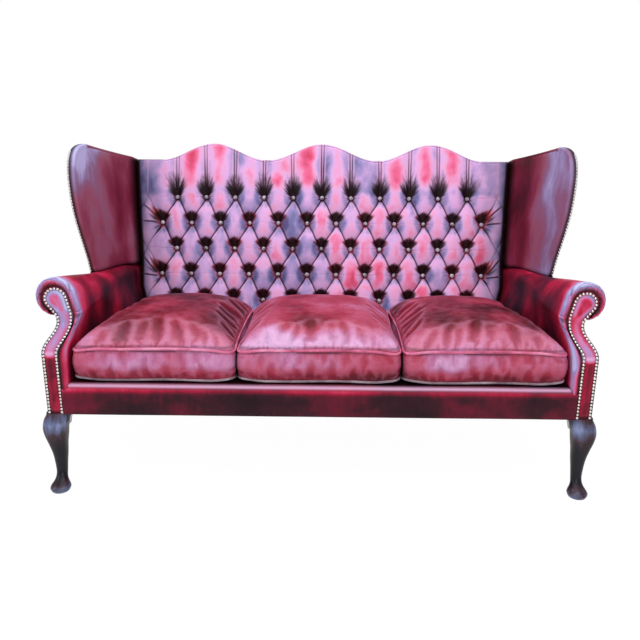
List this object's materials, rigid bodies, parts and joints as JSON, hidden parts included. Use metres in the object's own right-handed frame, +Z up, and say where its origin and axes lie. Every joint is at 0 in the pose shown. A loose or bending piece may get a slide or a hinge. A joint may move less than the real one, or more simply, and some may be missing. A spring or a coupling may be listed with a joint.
{
  "type": "chesterfield sofa",
  "caption": "High-back winged chesterfield sofa with a deep-buttoned serpentine back, scroll arms with nailed facings, cabriole front legs and loose seat cushions.",
  "frame": {"origin": "on the floor, under the middle of the sofa's box", "axes": "+Z up, the front of the sofa faces -Y, +X to the right of someone looking at its front"},
  "size_m": [1.8318, 0.92, 1.1306],
  "materials": {
    "tufted_leather": "antiqued deep red leather, semi-gloss",
    "outer_leather": "antiqued dark red leather, semi-gloss",
    "cushion_leather": "worn red leather, satin",
    "button_leather": "polished dark red leather",
    "beech": "planed, unfinished",
    "mahogany": "dark stained and polished",
    "nail": "polished, nickel coloured",
    "steel": "zinc coated",
    "webbing": "woven jute",
    "foam": "felted fibre",
    "deck_cloth": "hessian and felt, dark",
    "dust_cloth": "non-woven, black"
  },
  "bodies": {
    "frame": {"front_rail": "beech", "back_seat_rail": "beech", "side_rail_left": "beech", "side_rail_right": "beech", "cross_rails": "beech", "corner_blocks": "beech", "back_post_left": "beech", "back_post_right": "beech", "back_uprights": "beech", "top_back_rail": "beech", "lumbar_rail": "beech", "arm_upright_left": "beech", "arm_upright_right": "beech", "arm_stump_left": "beech", "arm_stump_right": "beech", "arm_top_rail_left": "beech", "arm_top_rail_right": "beech", "arm_tack_rail_left": "beech", "arm_tack_rail_right": "beech", "wing_frame_left": "beech", "wing_frame_right": "beech", "front_leg_left": "mahogany", "front_leg_right": "mahogany", "leg_brackets": "mahogany", "rear_leg_left": "mahogany", "rear_leg_right": "mahogany", "leg_bolts": "steel", "seat_webbing": "webbing", "webbing_clips": "steel", "seat_deck": "deck_cloth", "front_border": "tufted_leather", "inside_arm_left": "tufted_leather", "inside_arm_right": "tufted_leather", "outside_arm_left": "outer_leather", "outside_arm_right": "outer_leather", "arm_facing_left": "outer_leather", "arm_facing_right": "outer_leather", "facing_nails_inner_left": "nail", "facing_nails_inner_right": "nail", "facing_nails_outer_left": "nail", "facing_nails_outer_right": "nail", "inside_wing_left": "tufted_leather", "inside_wing_right": "tufted_leather", "outside_wing_left": "outer_leather", "outside_wing_right": "outer_leather", "wing_nails_left": "nail", "wing_nails_right": "nail", "tufted_back": "tufted_leather", "back_foam": "foam", "back_webbing": "webbing", "back_buttons": "button_leather", "outside_back": "outer_leather", "dust_cover": "dust_cloth"},
    "cushion_left": {"cushion_left": "cushion_leather"},
    "cushion_centre": {"cushion_centre": "cushion_leather"},
    "cushion_right": {"cushion_right": "cushion_leather"}
  },
  "joints": [
    {"name": "cushion_left_slide", "type": "slide", "parent": "frame", "child": "cushion_left", "axis": [0, -0.9781, 0.2079], "range_m": [0, 0.6]},
    {"name": "cushion_centre_slide", "type": "slide", "parent": "frame", "child": "cushion_centre", "axis": [0, -0.9781, 0.2079], "range_m": [0, 0.6]},
    {"name": "cushion_right_slide", "type": "slide", "parent": "frame", "child": "cushion_right", "axis": [0, -0.9781, 0.2079], "range_m": [0, 0.6]}
  ]
}
